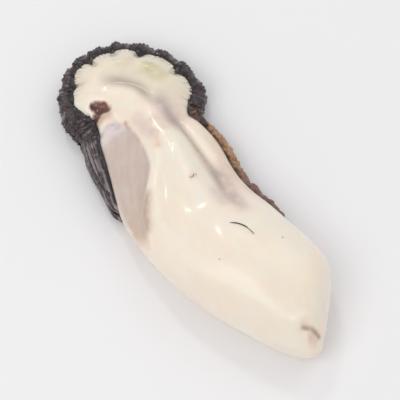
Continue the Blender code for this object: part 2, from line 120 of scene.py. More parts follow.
VENT = [(-7.2, 30.5), (-6.5, 29.5), (-5.8, 28.4)]
VENT_TAIL = [(-6.4, 28.3), (-8.2, 27.9), (-9.8, 27.6)]
VENT_SPOT = [(-8.0, 31.0), (-7.7, 29.6)]
VENT_EDGE = [
    (-8.3, 30.4), (-8.0, 29.2), (-9.6, 28.3), (-9.9, 27.3), (-8.7, 27.0), (-6.9, 27.7), (-5.4, 27.4),
    (-4.7, 28.4), (-5.3, 29.8), (-6.5, 31.1), (-7.9, 31.3),
]
MOUTH = [(-0.1, -37.5), (0.9, -38.2), (2.0, -39.1)]
TIP_FOLD = [(1.7, -39.0), (2.7, -40.1), (3.2, -41.6)]
TIP_LIP = [(-1.5, -36.9), (0.7, -36.5), (2.9, -37.3), (4.3, -39.0)]
NECK_LINE = [(1.9, 15.5), (1.2, 12.5), (0.4, 9.9), (-0.8, 7.2)]
MUSCLE_NOTCH = [(-4.0, 23.2), (-4.5, 21.6), (-4.2, 19.9)]
# Points, half width, height, share of the length each end fades over, sharpness (2 is round, 1 is a crease)
FOLDS = [
    (NECK_RIDGE, 3.0, 2.0, 0.28, 2.0),
    (SIDE_RIDGE, 1.3, 1.1, 0.25, 2.0),
    (FAN_CREASE, 1.7, -0.65, 0.3, 2.0),
    (NECK_CREASE, 1.2, -1.9, 0.3, 1.3),
    (MANTLE_ROLL, 3.1, 1.6, 0.16, 2.0),
    (MUSCLE_LIP, 0.8, 0.9, 0.2, 2.0),
    (MUSCLE_NOTCH, 0.5, -0.8, 0.3, 1.6),
    (FLANK_FOLD, 1.1, -1.1, 0.3, 1.6),
    (BODY_FOLD, 1.3, -0.5, 0.35, 2.0),
    (VENT, 1.2, -1.1, 0.0, 2.0),
    (VENT_TAIL, 0.7, -0.6, 0.1, 2.0),
    (MOUTH, 0.8, -1.2, 0.3, 1.4),
    (TIP_FOLD, 0.9, -1.0, 0.3, 1.4),
    (TIP_LIP, 1.0, 0.55, 0.3, 2.0),
    (NECK_LINE, 0.5, -0.35, 0.3, 1.4),
]

MUSCLE = [
    (-5.6, 24.0), (-8.2, 24.9), (-10.4, 23.4), (-11.7, 19.4), (-13.0, 15.2), (-14.5, 10.6), (-15.9, 6.0),
    (-16.4, 1.5), (-16.5, -2.5), (-16.0, -5.4), (-15.0, -4.8), (-14.1, -1.6), (-12.4, 2.4), (-9.2, 6.0),
    (-6.2, 9.4), (-4.5, 13.2), (-3.9, 17.2), (-4.2, 21.2),
]
MUSCLE_CENTRE = (-9.0, 14.0)
MUSCLE_TOP = 10.0
MUSCLE_BED = 1.8           # depth of the hollow that it lies in
MUSCLE_DEPTH = 3.0
MUSCLE_LEAN = math.radians(-20)
MUSCLE_PITCH = math.radians(-6.5)
MUSCLE_LUMP = 0.16         # height of its lumps
# Where the flesh is tinted lilac, partly its own translucent tone and partly painted shade in the grooves
# beside the neck's crease: (line, half width, fade, strength)
LILAC_AND_SHADE_PLACES = [
    ([(5.0, 22.4), (5.3, 20.2), (4.9, 17.4)], 2.2, 0.0, 0.95),
    ([(6.2, 6.0), (5.9, 0.0), (5.0, -5.0), (4.6, -9.0), (6.0, -13.0)], 1.8, 0.3, 0.9),
    ([(-2.2, 24.0), (-1.8, 19.6), (-1.8, 14.5)], 1.5, 0.3, 0.42),
    ([(2.8, -0.5), (1.9, -4.5), (2.2, -8.5)], 1.5, 0.3, 0.38),
]
# And where it is tan, partly real brown marks and a stain under the shred, partly painted shade in the
# muscle's lip and notch, the flank fold and the folds of the neck and the mouth: (line, half width, strength)
TAN_AND_SHADE_PLACES = [
    (MUSCLE_LIP[:5], 0.75, 0.8), (FLANK_FOLD, 1.2, 1.0), (MUSCLE_NOTCH, 0.5, 1.0),
    (MOUTH + TIP_FOLD[1:], 0.45, 1.0), ([(0.2, -40.2), (1.6, -40.8), (2.4, -41.8)], 1.4, 0.4),
    ([(-0.8, 17.5), (-1.5, 14.3), (-2.4, 11.8)], 0.9, 0.42),
    ([(0.6, 37.2), (3.5, 36.2), (6.4, 33.8)], 1.6, 0.2),
    ([(0.6, 20.5), (0.9, 17.5), (1.0, 14.5)], 1.7, 0.3),
    ([(-1.2, 2.2), (-0.2, 2.0), (1.0, 2.3)], 0.6, 0.4),
]
GREEN_PLACE = [(7.2, 31.6), (8.0, 29.5), (8.5, 27.8)]

# Frill folds in cross-section: (outward reach, height), as in the solid.
INNER_FOLD = [(-0.9, -0.1), (-0.1, 0.5), (0.30, 0.8), (0.64, 0.4)]
MIDDLE_FOLD = [(-0.9, -0.3), (-0.1, 0.1), (0.40, 0.1), (0.84, -0.5)]
OUTER_FOLD = [(-0.9, -0.6), (-0.1, -0.2), (0.45, -0.6), (0.82, -1.5), (1.0, -2.4)]
LOWER_LOBE = [(-2.0, 1.3), (-1.0, 1.2), (0.0, 1.0), (0.6, 0.9), (1.05, 1.3)]
# The upper folds: name, cross-section, shift of the ruffles, thickness, where across the fold its papillae
# stand (1 is at the lip) and their length
UPPER_FOLDS = [
    ("inner_fold", INNER_FOLD, 0.0, 0.62, 0.95, 0.25),
    ("middle_fold", MIDDLE_FOLD, 1.1, 0.55, 0.95, 0.25),
    ("outer_fold", OUTER_FOLD, 2.2, 0.62, 0.70, 0.27),
]
LOBE_SHIFT = 4.1
LOBE_THICKNESS = 0.9
LOBE_START = 0.06          # where along the margin the lower lobe's frill begins
FOLD_STEPS = (1100, 16)    # faces along and across a fold
# Along the margin (0 to 1): the frill's width as a share of FRILL_WIDTH, the height at which it grows.
FRILL_AT = [
    (0.00, 0.15, 6.4), (0.07, 0.52, 6.0), (0.13, 0.66, 5.8), (0.20, 0.70, 5.4), (0.27, 0.66, 5.2),
    (0.31, 0.74, 5.2), (0.345, 0.98, 5.6), (0.40, 1.00, 6.0), (0.50, 0.95, 6.2), (0.60, 0.92, 6.2),
    (0.70, 1.00, 6.2), (0.77, 1.22, 6.0), (0.84, 1.16, 5.8), (0.89, 0.92, 5.6), (0.93, 0.62, 5.2),
    (0.965, 0.32, 4.9), (1.00, 0.10, 4.6),
]
TUCK = 2.6                 # how far a fold's end is drawn back into the flesh
TUCK_STRETCH = 0.05        # share of the margin over which it is drawn back
GILL_LEAVES = 4
GILL_START = 0.05          # where along the margin the gills begin
GILL_LENGTH = 0.90         # and the share of it that they take up
GILL_BOTTOM = 1.3
GILL_DEPTH = 0.75          # how far a leaf's edge stands out
GILL_STEPS = (1300, 30)
LEAF_THICKNESS = 0.5
FILAMENT = 0.62            # spacing of the gill filaments
FILAMENT_DEPTH = 0.07
PAPILLA_SPACING = 0.62
# The brown knot of mantle where the black frill ends: lumps as (x, y, z, radius)
KNOT = [
    (8.3, 15.6, 7.4, 0.9), (9.5, 15.8, 7.2, 1.2), (10.8, 15.9, 6.6, 1.2), (9.6, 16.9, 6.9, 1.0),
    (11.2, 14.6, 6.1, 0.9),
]
# Grit on the body
THREAD = [(0.1, -11.8), (1.2, -12.7), (2.1, -14.0), (2.5, -15.3), (2.7, -16.9)]
THREAD_RADIUS = 0.11
SHRED_RADIUS = 0.05
SHRED = [(-0.9, 2.0), (-0.3, 1.8), (0.3, 2.2), (1.0, 2.1)]
SPECKS = [(7.4, -20.5, 0.13), (-6.2, -17.5, 0.11)]


# ================================================================ curves and tables
def smooth_through(points, per_span=12, closed=False):
    """Points on the Catmull-Rom curve through the given ones."""
    knots = np.array(points, float)
    if closed:
        knots = np.vstack([knots[-1], knots, knots[0], knots[1]])
    else:
        knots = np.vstack([2 * knots[0] - knots[1], knots, 2 * knots[-1] - knots[-2]])
    t = np.linspace(0, 1, per_span, endpoint=False)[:, None]
    made = []
    for a, b, c, d in zip(knots, knots[1:], knots[2:], knots[3:]):
        made.append(0.5 * (2 * b + (c - a) * t + (2 * a - 5 * b + 4 * c - d) * t**2
                           + (3 * b - a - 3 * c + d) * t**3))
    if not closed:
        made.append(knots[-2][None])
    return np.vstack(made)


def along(curve):
    """The distance along a curve to each of its points."""
    return np.concatenate([[0], np.cumsum(np.linalg.norm(np.diff(curve, axis=0), axis=1))])


def resample(curve, count):
    """A number of evenly spaced points along the curve."""
    distance = along(curve)
    even = np.linspace(0, distance[-1], count)
    return np.stack([np.interp(even, distance, curve[:, k]) for k in range(curve.shape[1])], axis=1)


def table_at(table, where, column=1):
    """A column of the table at given values of its first column, on a smooth curve."""
    curve = smooth_through(table, per_span=16)
    return np.interp(where, curve[:, 0], curve[:, column])


def smooth_step(low, high, value):
    """0 up to low and 1 from high on, with a smooth rise between them."""
    t = np.clip((value - low) / (high - low), 0, 1)
    return t * t * (3 - 2 * t)


def nearest(curve, places):
    """Index of the curve's nearest point to each place, and the distance to it."""
    index = np.empty(len(places), int)
    for start in range(0, len(places), 4000):
        part = slice(start, start + 4000)
        index[part] = ((places[part, None, :] - curve[None]) ** 2).sum(axis=2).argmin(axis=1)
    return index, np.linalg.norm(places - curve[index], axis=1)


def margin_frame():
    """The margin's points, the outward direction at each, and the distance along it."""
    curve = resample(smooth_through(MARGIN), 1500)
    ahead = np.gradient(curve, axis=0)
    ahead /= np.linalg.norm(ahead, axis=1, keepdims=True)
    return curve, np.stack([ahead[:, 1], -ahead[:, 0]], axis=1), along(curve)


def closed_outline(points):
    """Points of the closed smooth curve through the given ones, and the outward direction at each."""
    curve = resample(smooth_through(points, closed=True), 1200)
    ahead = np.roll(curve, -1, axis=0) - np.roll(curve, 1, axis=0)
    ahead /= np.linalg.norm(ahead, axis=1, keepdims=True)
    return curve, np.stack([ahead[:, 1], -ahead[:, 0]], axis=1)


def near_line(points, plan, half_width, fade=0.2, sharpness=2.0):
    """1 on the line, falling to 0 beside it and towards its ends."""
    curve = resample(smooth_through(points), 80)
    index, distance = nearest(curve, plan)
    share = index / (len(curve) - 1)
    ends = 1.0 if fade == 0 else smooth_step(0, fade, share) * smooth_step(0, fade, 1 - share)
    return ends * np.exp(-((distance / half_width) ** sharpness))


def inside(points, plan):
    """Distance to each place from a closed anticlockwise outline: more than 0 inside, less outside."""
    edge, outward = closed_outline(points)
    index, _ = nearest(edge, plan)
    return -((plan - edge[index]) * outward[index]).sum(axis=1)


def noise_at(points, size, seed=0.0):
    """Smooth noise from about -1 to 1, with lumps of the given size."""
    shift = Vector((seed, seed * 0.7, -seed))
    return np.array([noise.noise(Vector(p) / size + shift) for p in points])


# ================================================================ Blender objects
def points_of(mesh):
    points = np.empty(len(mesh.vertices) * 3)
    mesh.vertices.foreach_get("co", points)
    return points.reshape(-1, 3)


def normals_of(mesh):
    normals = np.empty(len(mesh.vertices) * 3)
    mesh.vertices.foreach_get("normal", normals)
    return normals.reshape(-1, 3)


def move_points(mesh, points):
    mesh.vertices.foreach_set("co", points.astype(np.float32).ravel())
    mesh.update()


def new_object(name, mesh, points=None):
    if points is not None:
        move_points(mesh, points)
    obj = bpy.data.objects.new(name, mesh)
    bpy.context.scene.collection.objects.link(obj)
    return obj


def evaluated_mesh(obj):
    """The object's mesh with its modifiers applied. The object is removed."""
    graph = bpy.context.evaluated_depsgraph_get()
    made = bpy.data.meshes.new_from_object(obj.evaluated_get(graph))
    bpy.data.objects.remove(obj)
    return made


def bmesh_to_mesh(shape, name):
    mesh = bpy.data.meshes.new(name)
    shape.to_mesh(mesh)
    shape.free()
    return mesh


def sphere_mesh(segments, rings):
    shape = bmesh.new()
    bmesh.ops.create_uvsphere(shape, u_segments=segments, v_segments=rings, radius=1)
    return bmesh_to_mesh(shape, "sphere")


def set_mask(mesh, name, values):
    """Stores a value from 0 to 1 at each point, for the material to read."""
    mask = mesh.attributes.new(name, "FLOAT", "POINT")
    mask.data.foreach_set("value", np.clip(values, 0, 1).astype(np.float32))


def get_mask(mesh, name):
    values = np.empty(len(mesh.vertices))
    mesh.attributes[name].data.foreach_get("value", values)
    return values


def finish_piece(obj, name, material):
    """Rests the piece on the table, puts it in place in metres and makes it ride on the part."""
    points = points_of(obj.data)
    points[:, 2] = np.maximum(points[:, 2], 0.0)
    move_points(obj.data, (points - (*PLAN_CENTRE, 0)) * MILLIMETRE)
    obj.data.shade_smooth()
    obj.data.materials.clear()
    obj.data.materials.append(material)
    obj.name = obj.data.name = name
    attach(obj, "root")
    return obj


# ================================================================ flesh
def flesh_points(ball):
    """Maps a unit sphere, its poles at the ends of Y, to the outline, the crown and the sagging underside."""
    outline, _ = closed_outline(MARGIN + BODY_END)
    tail, head = outline[:, 1].argmin(), outline[:, 1].argmax()
    right = np.roll(outline, -tail, axis=0)[: (head - tail) % len(outline) + 1]
    left = np.roll(outline, -head, axis=0)[: (tail - head) % len(outline) + 1][::-1]
    place = np.interp(ball[:, 1], (-1, 1), (outline[tail, 1], outline[head, 1]))
    x_left = np.interp(place, left[:, 1], left[:, 0])
    x_right = np.interp(place, right[:, 1], right[:, 0])
    section = ball[:, [0, 2]] / np.maximum(np.hypot(ball[:, 0], ball[:, 2]), 1e-9)[:, None]
    section = np.sign(section) * np.abs(section) ** ROUNDNESS
    crown = table_at(CROWN, place) - GIRTH_HEIGHT
    keel = GIRTH_HEIGHT + SUNK - FAN_LIFT * smooth_step(18, 38, place)
    blunt = np.sqrt(1 - np.clip(np.abs(ball[:, 1]), 0, 1) ** END_BLUNTNESS)
    height = np.where(section[:, 1] > 0, crown, keel) * section[:, 1] * blunt
    across = (x_left + x_right) / 2 + section[:, 0] * (x_right - x_left) / 2
    return np.column_stack([across, place, GIRTH_HEIGHT + height])


def on_fan(share):
    """1 along the fan's part of the margin, falling to 0 at either end of it."""
    return smooth_step(*FAN_STARTS, share) * (1 - smooth_step(*FAN_ENDS, share))


def scallops(curve, distance, index):
    """How far notches and rounded scallops push the fan's edge out at the given points of the margin."""
    notches = np.array(NOTCHES)
    places = distance[nearest(curve, notches[:, :2])[0]]
    turn = math.pi * np.interp(distance[index], places, np.arange(len(places)))
    depth = np.interp(distance[index], places, notches[:, 2])
    crest = np.abs(np.sin(turn))
    small = np.abs(np.sin(3 * turn))
    return SCALLOP_PUFF * crest**0.4 - depth * (1 - crest) ** 2.6 - 0.2 * (1 - small) ** 2


def sculpt_flesh(points, normals):
    """Presses the folds, the muscle's bed and the fan's scallops into the flesh."""
    plan = points[:, :2]
    upper = smooth_step(-0.1, 0.45, normals[:, 2])
    raised = sum(depth * near_line(line, plan, half, fade, sharp) for line, half, depth, fade, sharp in FOLDS)
    bed = smooth_step(-0.2, 1.0, inside(MUSCLE, plan))
    made = points.copy()
    made[:, 2] += upper * (raised - MUSCLE_BED * bed)
    index, gap, push = fan_push(plan)
    _, outward, _ = margin_frame()
    near = np.exp(-((gap / SCALLOP_REACH) ** 2))
    made[:, :2] += outward[index] * (push * near)[:, None]
    made[:, 2] += upper * SCALLOP_RISE * np.minimum(push, 0.3) * near
    share = index / (len(outward) - 1)
    above = np.maximum(made[:, 2] - frill_at(share)[1] - RIM_BASE, 0)
    made[:, 2] -= above * on_fan(share) * RIM_THINNING * np.exp(-((gap / RIM_REACH) ** 2))
    return made


def fan_push(plan):
    """The margin's nearest point to each place, the distance to it, and the push of the fan's edge there."""
    curve, _, distance = margin_frame()
    index, gap = nearest(curve, plan)
    return index, gap, scallops(curve, distance, index) * on_fan(index / (len(curve) - 1))


def paint_flesh(mesh):
    """Masks for the tissues' colours and for the shade painted into them."""
    points = points_of(mesh)
    plan = points[:, :2]
    curve, outward, _ = margin_frame()
    index, _, push = fan_push(plan)
    share = index / (len(curve) - 1)
    beyond = ((plan - curve[index]) * outward[index]).sum(axis=1) - push
    width, rise = frill_at(share)
    above = points[:, 2] - rise - RIM_BASE * width / FRILL_WIDTH
    up_the_wall = np.hypot(np.maximum(above, 0), np.maximum(-beyond, 0))
    set_mask(mesh, "share", share)
    set_mask(mesh, "rim_way", up_the_wall / RIM_SPAN)
    set_mask(mesh, "fan", smooth_step(0.29, 0.35, share) * (1 - smooth_step(0.76, 0.84, share)))

    flank = (1 - smooth_step(0.27, 0.33, share)) * smooth_step(0.02, 0.12, share)
    side = smooth_step(-0.9, 0.2, beyond) * (1 - smooth_step(6.5, 8.5, points[:, 2]))
    set_mask(mesh, "side_rim", side * flank)
    # flank: the right flank's tan mottling, with painted shade towards its edge
    set_mask(mesh, "flank", smooth_step(-4.2, -0.6, beyond) * flank * smooth_step(4.5, 6.5, points[:, 2]))

    upper = smooth_step(4.5, 7.0, points[:, 2])
    crease_curve = resample(smooth_through(FAN_CREASE + NECK_CREASE[1:]), 120)
    crease_index, _ = nearest(crease_curve, plan)
    beside = plan - crease_curve[crease_index]
    crease_side = np.where(plan[:, 1] > 30, beside[:, 1], beside[:, 0])
    set_mask(mesh, "lobe", smooth_step(-0.5, 1.5, crease_side) * smooth_step(17, 24, plan[:, 1]) * upper)
    # crease: painted shade along the fan's and the neck's creases
    set_mask(mesh, "crease", 0.7 * near_line(FAN_CREASE, plan, 1.3, 0.35)
             + 0.6 * near_line(NECK_CREASE, plan - (0.25, 0), 0.65, 0.35, 1.6))
    set_mask(mesh, "green", near_line(GREEN_PLACE, plan, 1.8, 0.0))
    # lilac: the tissue's own lilac tone, and painted shade in the grooves beside the neck's crease
    lilac_and_shade = [much * near_line(line, plan, half, fade) for line, half, fade, much in LILAC_AND_SHADE_PLACES]
    set_mask(mesh, "lilac_and_shade", sum(lilac_and_shade))
    # tan: brown marks, and painted shade in the folds
    set_mask(mesh, "tan", sum(much * near_line(line, plan, half) for line, half, much in TAN_AND_SHADE_PLACES))

    ragged = 0.45 * noise_at(points, 1.3, 4.0) + 0.2 * noise_at(points, 0.5, 8.0)
    set_mask(mesh, "vent", smooth_step(-0.4, 0.35, inside(VENT_EDGE, plan) + ragged) * upper)
    set_mask(mesh, "vent_dark", near_line(VENT_SPOT, plan, 0.9, 0.0))
    muscle = smooth_step(-0.5, 0.55, inside(MUSCLE, plan) + 0.5 * ragged)
    muscle *= smooth_step(4.3, 5.6, points[:, 2]) * smooth_step(-6.5, 0.5, plan[:, 1] + ragged)
    set_mask(mesh, "muscle", muscle)
    set_mask(mesh, "muscle_top", smooth_step(18.5, 23.5, plan[:, 1] + 0.6 * ragged))
    set_mask(mesh, "muscle_tail", 1 - smooth_step(-1.0, 8.0, plan[:, 1]))


def roughen(points, normals):
    """Soft lumps, the neck's fine wrinkles and the fan's radial pleats."""
    curve, _, distance = margin_frame()
    index, gap, _ = fan_push(points[:, :2])
    share = index / (len(curve) - 1)
    upper = smooth_step(-0.1, 0.45, normals[:, 2])
    s = distance[index]
    pleats = noise_at(np.column_stack([s, np.zeros(len(s)), np.zeros(len(s))]), PLEAT_SPACING, 2.0)
    pleats = on_fan(share) * pleats * smooth_step(0.2, 1.0, gap) * np.exp(-((gap / 4.2) ** 2))
    soft = noise_at(points * (1, 0.6, 1), 5.5, 3.0)
    wrinkle = noise_at(points * (1, 0.28, 1), 1.6, 9.0)
    on_neck = smooth_step(-10, 2, points[:, 1]) * (1 - smooth_step(24, 32, points[:, 1]))
    calm = 1 - 0.8 * smooth_step(-0.5, 0.5, inside(MUSCLE, points[:, :2]))
    lift = LUMP * soft + WRINKLE * wrinkle * on_neck * calm + PLEAT * pleats
    return points + normals * (lift * upper)[:, None]


def even_mesh(obj, voxel, relaxing):
    """The object's mesh with even faces of the given size, smoothed a number of times."""
    remesh = obj.modifiers.new("even mesh", "REMESH")
    remesh.mode = "VOXEL"
    remesh.voxel_size = voxel
    relax = obj.modifiers.new("relax", "SMOOTH")
    relax.factor = 0.5
    relax.iterations = relaxing
    return evaluated_mesh(obj)


def make_flesh():
    """The flesh and the adductor muscle, grown together into one skin."""
    mesh = sphere_mesh(160, 260)
    obj = new_object("flesh", mesh, flesh_points(points_of(mesh)[:, [1, 2, 0]]))
    mesh = even_mesh(obj, FLESH_VOXEL, 10)
    move_points(mesh, sculpt_flesh(points_of(mesh), normals_of(mesh)))
    both = bmesh.new()
    both.from_mesh(mesh)
    both.from_mesh(muscle_mesh())
    mesh = even_mesh(new_object("flesh", bmesh_to_mesh(both, "flesh")), FLESH_VOXEL, 8)
    paint_flesh(mesh)
    move_points(mesh, roughen(points_of(mesh), normals_of(mesh)))
    return new_object("flesh", mesh)


# ================================================================ adductor muscle
def muscle_mesh():
    """A thick oval disc that leans to the left and dips a little towards the fan."""
    mesh = sphere_mesh(220, 90)
    ball = points_of(mesh)
    edge, _ = closed_outline(MUSCLE)
    bearing = np.arctan2(*(edge - MUSCLE_CENTRE).T[::-1])
    order = bearing.argsort()
    turn = np.arctan2(ball[:, 1], ball[:, 0])
    sides = [np.interp(turn, bearing[order], edge[order, k], period=2 * math.pi) for k in (0, 1)]
    rim = np.stack(sides, axis=1)
    reach = np.hypot(ball[:, 0], ball[:, 1])[:, None] ** 0.8
    plan = MUSCLE_CENTRE + (rim - MUSCLE_CENTRE) * reach
    rise = MUSCLE_DEPTH * (np.sign(ball[:, 2]) * np.abs(ball[:, 2]) ** 0.45 - 1)
    lean, pitch = ((plan - MUSCLE_CENTRE) * (math.tan(-MUSCLE_LEAN), math.tan(MUSCLE_PITCH))).T
    points = np.column_stack([plan, MUSCLE_TOP + rise + lean + pitch])
    points[:, 2] += MUSCLE_LUMP * noise_at(points, 3.2, 5.0)
    move_points(mesh, points)
    return mesh


# ================================================================ frill
def frill_at(share):
    """The frill's width and the height at which it grows, along the margin."""
    return FRILL_WIDTH * table_at(FRILL_AT, share), table_at(FRILL_AT, share, column=2)


def tucked_in(share):
    """How far a fold's two ends are drawn back into the flesh."""
    return TUCK * (2 - smooth_step(0, TUCK_STRETCH, share) - smooth_step(0, TUCK_STRETCH, 1 - share))


def ruffle(distance, wave, shift):
    """An uneven wave along the margin, from -1 to 1."""
    phase = 2 * math.pi * distance / wave + 1.3 * np.sin(distance / 6.1 + shift) + shift
    return np.sin(phase) * (0.75 + 0.25 * np.sin(distance / 3.7 + 2 * shift))


def fold_point(profile, grid, shift, from_table=False, first=0.0):
    """Maps a flat grid, 0 to 1 each way, to a thin fold that follows the margin and ruffles at its lip."""
    curve, outward, distance = margin_frame()
    share = first + (1 - first) * grid[:, 0]
    index = np.rint(share * (len(curve) - 1)).astype(int)
    s = distance[index]
    width, rise = frill_at(share)
    shape = smooth_through(profile)
    step = np.linspace(0, 1, len(shape))
    v = grid[:, 1]
    reach = np.interp(v, step, shape[:, 0]) * width
    height = np.interp(v, step, shape[:, 1]) * (1.0 if from_table else width / FRILL_WIDTH)
    calm = 1 - 0.8 * smooth_step(*LEFT_STARTS, share)
    lip = v**1.4 * width / FRILL_WIDTH * calm
    wave = ruffle(s, FRILL_WAVE, shift) * lip
    crinkle = ruffle(s, CRINKLE_WAVE, shift + 1.0) * lip
    teeth = np.abs(np.sin(math.pi * s / PAPILLA_SPACING + 0.8 * np.sin(s / 2.9 + shift)))
    tooth = (teeth - 0.5) * smooth_step(0.75, 1.0, v) * width / FRILL_WIDTH * calm
    out = reach + WAVE_OUT * wave + CRINKLE_OUT * crinkle + TOOTH * tooth - tucked_in(grid[:, 0])
    plan = curve[index] + outward[index] * out[:, None]
    up = height + WAVE_UP * wave + CRINKLE_UP * crinkle
    return np.column_stack([plan, up if from_table else up + rise])


def fold_sheet(name, profile, shift, thickness, from_table=False, first=0.0):
    """One thin fold, with masks for how near its lip a point is and for its brown and its calm stretch."""
    shape = bmesh.new()
    bmesh.ops.create_grid(shape, x_segments=FOLD_STEPS[0], y_segments=FOLD_STEPS[1], size=0.5)
    mesh = bmesh_to_mesh(shape, name)
    grid = points_of(mesh)[:, :2] + 0.5
    share = first + (1 - first) * grid[:, 0]
    set_mask(mesh, "lip", grid[:, 1])
    set_mask(mesh, "brown", 1 - smooth_step(0.275, 0.36, share))
    set_mask(mesh, "left", smooth_step(*LEFT_STARTS, share))
    set_mask(mesh, "share", share)
    obj = new_object(name, mesh, fold_point(profile, grid, shift, from_table, first))
    solid = obj.modifiers.new("thickness", "SOLIDIFY")
    solid.thickness = thickness
    solid.offset = 0
    mesh = evaluated_mesh(obj)
    points = points_of(mesh)
    lumps = noise_at(points, 0.9, shift) * get_mask(mesh, "lip")
    move_points(mesh, points + normals_of(mesh) * (FOLD_LUMP * lumps)[:, None])
    return new_object(name, mesh)


def papilla_mesh():
    """A blunt tapering finger, 1 high, standing on the origin."""
    shape = bmesh.new()
    sides = 7
    turns = [k * math.tau / sides for k in range(sides)]
    loops = []
    for height, radius in ((0.0, 0.46), (0.35, 0.46), (0.7, 0.36), (0.92, 0.18)):
        loops.append([shape.verts.new((radius * math.cos(a), radius * math.sin(a), height)) for a in turns])
    tip = shape.verts.new((0, 0, 1))
    for low, high in zip(loops, loops[1:]):
        for k in range(sides):
            shape.faces.new((low[k], low[(k + 1) % sides], high[(k + 1) % sides], high[k]))
    for k in range(sides):
        shape.faces.new((loops[-1][k], loops[-1][(k + 1) % sides], tip))
    shape.faces.new(loops[0][::-1])
    return bmesh_to_mesh(shape, "papilla")


def make_papillae(rng):
    """Rows of small fingers along the folds' lips, joined into one mesh."""
    template = papilla_mesh()
    made = bmesh.new()
    _, _, distance = margin_frame()
    count = int(distance[-1] / PAPILLA_SPACING)
    browns = []
    for _, profile, shift, _, v, size in UPPER_FOLDS:
        share = (np.arange(count) + 0.5) / count + rng.uniform(-0.3, 0.3, count) / count
        here = fold_point(profile, np.column_stack([share, np.full(count, v)]), shift)
        ahead = fold_point(profile, np.column_stack([share, np.full(count, v + 0.05)]), shift)
        width = frill_at(share)[0] / FRILL_WIDTH
        for k in range(count):
            if width[k] < 0.35 or rng.random() < 0.12 + 0.88 * smooth_step(0.72, 0.84, share[k]):
                continue
            out = Vector(ahead[k] - here[k]).normalized()
            aim = (out + Vector((0, 0, 0.25)) + Vector(rng.normal(0, 0.15, 3))).normalized()
            long = size * rng.uniform(0.6, 1.25) * min(1, 0.4 + width[k] * 0.7)
            fat = long * rng.uniform(0.85, 1.15)
            turn = aim.to_track_quat("Z", "Y").to_matrix().to_4x4()
            place = Matrix.Translation(Vector(here[k])) @ turn @ Matrix.Diagonal((fat, fat, long, 1))
            first = len(made.verts)
            made.from_mesh(template)
            made.verts.ensure_lookup_table()
            bmesh.ops.transform(made, matrix=place, verts=made.verts[first:])
            browns.append(share[k] < 0.33)
    mesh = bmesh_to_mesh(made, "papillae")
    set_mask(mesh, "lip", np.ones(len(mesh.vertices)))
    set_mask(mesh, "left", np.zeros(len(mesh.vertices)))
    set_mask(mesh, "brown", np.repeat(np.array(browns, float), len(template.vertices)))
    return new_object("papillae", mesh)


def make_knot():
    """The lumpy brown knot at the notch between the fan and the right flank."""
    shape = bmesh.new()
    for x, y, z, radius in KNOT:
        ball = bmesh.ops.create_icosphere(shape, subdivisions=4, radius=radius)["verts"]
        bmesh.ops.translate(shape, verts=ball, vec=(x, y, z))
    mesh = even_mesh(new_object("knot", bmesh_to_mesh(shape, "knot")), KNOT_VOXEL, 4)
    points = points_of(mesh)
    move_points(mesh, points + normals_of(mesh) * (0.35 * noise_at(points, 0.9, 14.0))[:, None])
    set_mask(mesh, "lip", np.full(len(points), 0.6))
    set_mask(mesh, "brown", np.full(len(points), 0.55))
    set_mask(mesh, "left", np.zeros(len(points)))
    return new_object("knot", mesh)


# ================================================================ gills
def make_gills():
    """The four gill leaves between the mantle's lobes, seen edge on, with their fine filaments."""
    shape = bmesh.new()
    bmesh.ops.create_grid(shape, x_segments=GILL_STEPS[0], y_segments=GILL_STEPS[1], size=0.5)
    mesh = bmesh_to_mesh(shape, "gills")
    grid = points_of(mesh)[:, :2] + 0.5
    curve, outward, distance = margin_frame()
    share = GILL_START + GILL_LENGTH * grid[:, 0]
    index = np.rint(share * (len(curve) - 1)).astype(int)
    width, rise = frill_at(share)
    leaf = np.abs(np.sin(math.pi * GILL_LEAVES * grid[:, 1]))
    filament = np.sin(2 * math.pi * distance[index] / FILAMENT)
    drift = 0.25 * np.sin(distance[index] / 4.0) + 0.15 * np.sin(distance[index] / 1.9 + 2)
    reach = -1.6 + 0.45 * width + GILL_DEPTH * leaf + FILAMENT_DEPTH * filament * leaf
    reach -= tucked_in(grid[:, 0])
    height = GILL_BOTTOM + (rise - 0.4 - GILL_BOTTOM) * grid[:, 1] + drift
    obj = new_object("gills", mesh, np.column_stack([curve[index] + outward[index] * reach[:, None], height]))
    set_mask(mesh, "leaf", leaf)
    solid = obj.modifiers.new("thickness", "SOLIDIFY")
    solid.thickness = LEAF_THICKNESS
    solid.offset = -1
    return new_object("gills", evaluated_mesh(obj))


# ================================================================ grit
def surface_finder(obj):
    """A function from a place seen from above to the height of the flesh there."""
    graph = bpy.context.evaluated_depsgraph_get()
    tree = BVHTree.FromObject(obj, graph)

    def height(x, y):
        hit, _, _, _ = tree.ray_cast(Vector((x, y, 40)), Vector((0, 0, -1)))
        return hit.z

    return height


def make_thread(height, line, radius):
    """A dark thread of membrane that lies on the body."""
    plan = resample(smooth_through(line), 40)
    curve = bpy.data.curves.new("thread", "CURVE")
    curve.dimensions = "3D"
    curve.bevel_depth = radius
    curve.bevel_resolution = 2
    curve.use_fill_caps = True
    spline = curve.splines.new("POLY")
    spline.points.add(len(plan) - 1)
    for k, (x, y) in enumerate(plan):
        t = k / (len(plan) - 1)
        swell = math.sin(math.pi * min(t * 1.3, 1))
        spline.points[k].co = (x, y, height(x, y) + radius * 0.6, 1)
        spline.points[k].radius = 0.45 + 0.75 * swell + 0.3 * math.sin(9 * t) ** 2
    obj = new_object("thread", curve)
    return new_object("thread", evaluated_mesh(obj))


def make_specks(height):
    made = bmesh.new()
    for x, y, radius in SPECKS:
        first = len(made.verts)
        bmesh.ops.create_icosphere(made, subdivisions=2, radius=radius)
        made.verts.ensure_lookup_table()
        flatten = Matrix.Rotation(x, 4, "Z") @ Matrix.Diagonal((1.5, 0.9, 0.5, 1))
        place = Matrix.Translation((x, y, height(x, y))) @ flatten
        bmesh.ops.transform(made, matrix=place, verts=made.verts[first:])
    return new_object("specks", bmesh_to_mesh(made, "specks"))


